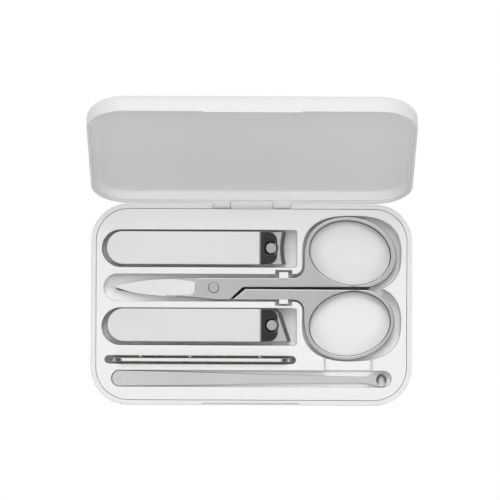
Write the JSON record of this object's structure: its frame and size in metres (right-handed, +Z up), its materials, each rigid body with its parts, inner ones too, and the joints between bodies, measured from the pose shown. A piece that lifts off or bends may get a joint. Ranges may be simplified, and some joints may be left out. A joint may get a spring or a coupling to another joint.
{
  "type": "manicure set case",
  "caption": "Hinged flat case with rounded corners whose moulded tray holds two nail clippers, ring-handled scissors, a nail file on edge and an ear pick; lid open.",
  "frame": {"origin": "centre of the base's flat underside", "axes": "+X along the case's width, +Y towards the hinge, +Z up"},
  "size_m": [0.12, 0.1131, 0.0783],
  "materials": {
    "shell_plastic": "fine matte white",
    "tray_plastic": "satin white",
    "satin_steel": "satin",
    "brushed_steel": "brushed",
    "pin_steel": "turned",
    "magnet": "nickel plated"
  },
  "bodies": {
    "case": {"base_shell": "shell_plastic", "tray_insert": "tray_plastic", "clip_tab_back": "tray_plastic", "clip_tab_front": "tray_plastic", "base_magnet": "magnet", "hinge_pin": "pin_steel"},
    "lid": {"lid_shell": "shell_plastic", "lid_liner": "tray_plastic", "lid_magnet": "magnet"},
    "curved_clipper": {"curved_clipper_lower_jaw": "brushed_steel", "curved_clipper_pin": "pin_steel", "curved_clipper_rivet": "pin_steel"},
    "curved_clipper_jaw": {"curved_clipper_upper_jaw": "brushed_steel"},
    "curved_clipper_lever": {"curved_clipper_lever": "satin_steel"},
    "slant_clipper": {"slant_clipper_lower_jaw": "brushed_steel", "slant_clipper_pin": "pin_steel", "slant_clipper_rivet": "pin_steel"},
    "slant_clipper_jaw": {"slant_clipper_upper_jaw": "brushed_steel"},
    "slant_clipper_lever": {"slant_clipper_lever": "satin_steel"},
    "scissors": {"scissors_bottom_half": "brushed_steel", "scissors_rivet": "pin_steel"},
    "scissors_top": {"scissors_top_half": "brushed_steel"},
    "nail_file": {"nail_file": "brushed_steel"},
    "ear_pick": {"ear_pick": "satin_steel"}
  },
  "joints": [
    {"name": "lid_hinge", "type": "hinge", "parent": "case", "child": "lid", "pos_m": [0, 0.03768, 0.01], "axis": [-1, 0, 0], "range_deg": [-115.2, 0]},
    {"name": "curved_clipper_lift", "type": "slide", "parent": "case", "child": "curved_clipper", "axis": [0, 0, 1], "range_m": [0, 0.04]},
    {"name": "curved_clipper_squeeze", "type": "hinge", "parent": "curved_clipper", "child": "curved_clipper_jaw", "pos_m": [-0.0447, 0.02113, 0.00335], "axis": [0, 1, 0], "range_deg": [0, 1.15], "stiffness_Nm_per_rad": 0.2, "springref_deg": -0.57},
    {"name": "curved_clipper_lever_tilt", "type": "hinge", "parent": "curved_clipper", "child": "curved_clipper_lever", "pos_m": [0.0092, 0.02113, 0.00675], "axis": [0, 1, 0], "range_deg": [0, 90]},
    {"name": "slant_clipper_lift", "type": "slide", "parent": "case", "child": "slant_clipper", "axis": [0, 0, 1], "range_m": [0, 0.04]},
    {"name": "slant_clipper_squeeze", "type": "hinge", "parent": "slant_clipper", "child": "slant_clipper_jaw", "pos_m": [-0.04435, -0.00777, 0.00335], "axis": [0, 1, 0], "range_deg": [0, 1.15], "stiffness_Nm_per_rad": 0.2, "springref_deg": -0.57},
    {"name": "slant_clipper_lever_tilt", "type": "hinge", "parent": "slant_clipper", "child": "slant_clipper_lever", "pos_m": [0.00955, -0.00777, 0.00675], "axis": [0, 1, 0], "range_deg": [0, 90]},
    {"name": "scissors_lift", "type": "slide", "parent": "case", "child": "scissors", "axis": [0, 0, 1], "range_m": [0, 0.04], "deforming": ["clip_tab_back", "clip_tab_front"]},
    {"name": "scissors_pivot", "type": "hinge", "parent": "scissors", "child": "scissors_top", "pos_m": [-0.01418, 0.00628, 0.0065], "axis": [0, 0, 1], "range_deg": [0, 0.25]},
    {"name": "nail_file_lift", "type": "slide", "parent": "case", "child": "nail_file", "axis": [0, 0, 1], "range_m": [0, 0.04]},
    {"name": "ear_pick_lift", "type": "slide", "parent": "case", "child": "ear_pick", "axis": [0, 0, 1], "range_m": [0, 0.04]}
  ]
}
